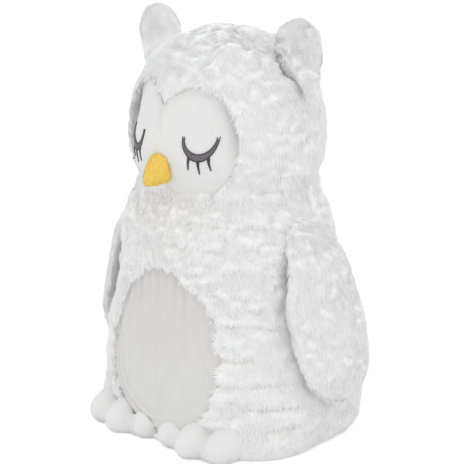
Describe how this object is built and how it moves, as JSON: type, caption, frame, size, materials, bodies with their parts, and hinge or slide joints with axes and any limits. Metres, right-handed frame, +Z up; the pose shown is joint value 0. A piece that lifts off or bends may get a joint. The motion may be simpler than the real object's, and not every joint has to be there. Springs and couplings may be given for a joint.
{
  "type": "plush owl",
  "caption": "Sitting plush owl in long white fur, with a smooth heart-shaped face, embroidered closed eyes, a soft beak, side wings that lift and ears that flop.",
  "frame": {"origin": "middle of the flat base panel, on the floor the owl sits on", "axes": "+Z up through the crown, -Y the way the owl faces, +X towards the owl's left wing"},
  "size_m": [0.2352, 0.1963, 0.3131],
  "materials": {
    "white_fur": "matte",
    "white_plush": "matte",
    "yellow_plush": "matte",
    "black_thread": "satin",
    "fibre_fill": "matte",
    "pouch_cloth": "matte"
  },
  "bodies": {
    "owl": {"body_fur_front": "white_fur", "body_fur_back": "white_fur", "belly_patch": "white_plush", "base_panel": "white_plush", "bead_pouch": "pouch_cloth", "body_stuffing": "fibre_fill", "head_fur_front": "white_fur", "head_fur_back": "white_fur", "face_disc": "white_plush", "head_stuffing": "fibre_fill", "beak": "yellow_plush", "beak_stuffing": "fibre_fill", "eye_left": "black_thread", "eye_right": "black_thread", "foot_left_skin": "white_plush", "foot_left_sole": "white_plush", "foot_left_stuffing": "fibre_fill", "foot_right_skin": "white_plush", "foot_right_sole": "white_plush", "foot_right_stuffing": "fibre_fill"},
    "wing_left": {"wing_left_outer": "white_fur", "wing_left_inner": "white_fur", "wing_left_stuffing": "fibre_fill"},
    "wing_right": {"wing_right_outer": "white_fur", "wing_right_inner": "white_fur", "wing_right_stuffing": "fibre_fill"},
    "ear_left": {"ear_left_front": "white_fur", "ear_left_back": "white_fur", "ear_left_stuffing": "fibre_fill"},
    "ear_right": {"ear_right_front": "white_fur", "ear_right_back": "white_fur", "ear_right_stuffing": "fibre_fill"}
  },
  "joints": [
    {"name": "wing_left_lift", "type": "hinge", "parent": "owl", "child": "wing_left", "pos_m": [0.07974, -0.0033, 0.165], "axis": [0, -1, 0], "range_deg": [0, 85]},
    {"name": "wing_right_lift", "type": "hinge", "parent": "owl", "child": "wing_right", "pos_m": [-0.07974, -0.0033, 0.165], "axis": [0, 1, 0], "range_deg": [0, 85]},
    {"name": "ear_left_flop", "type": "hinge", "parent": "owl", "child": "ear_left", "pos_m": [0.05942, -0.00438, 0.277], "axis": [0.8961, 0, -0.4439], "range_deg": [-24, 24], "stiffness_Nm_per_rad": 0.01},
    {"name": "ear_right_flop", "type": "hinge", "parent": "owl", "child": "ear_right", "pos_m": [-0.05942, -0.00438, 0.277], "axis": [0.8961, 0, 0.4439], "range_deg": [-24, 24], "stiffness_Nm_per_rad": 0.01}
  ]
}
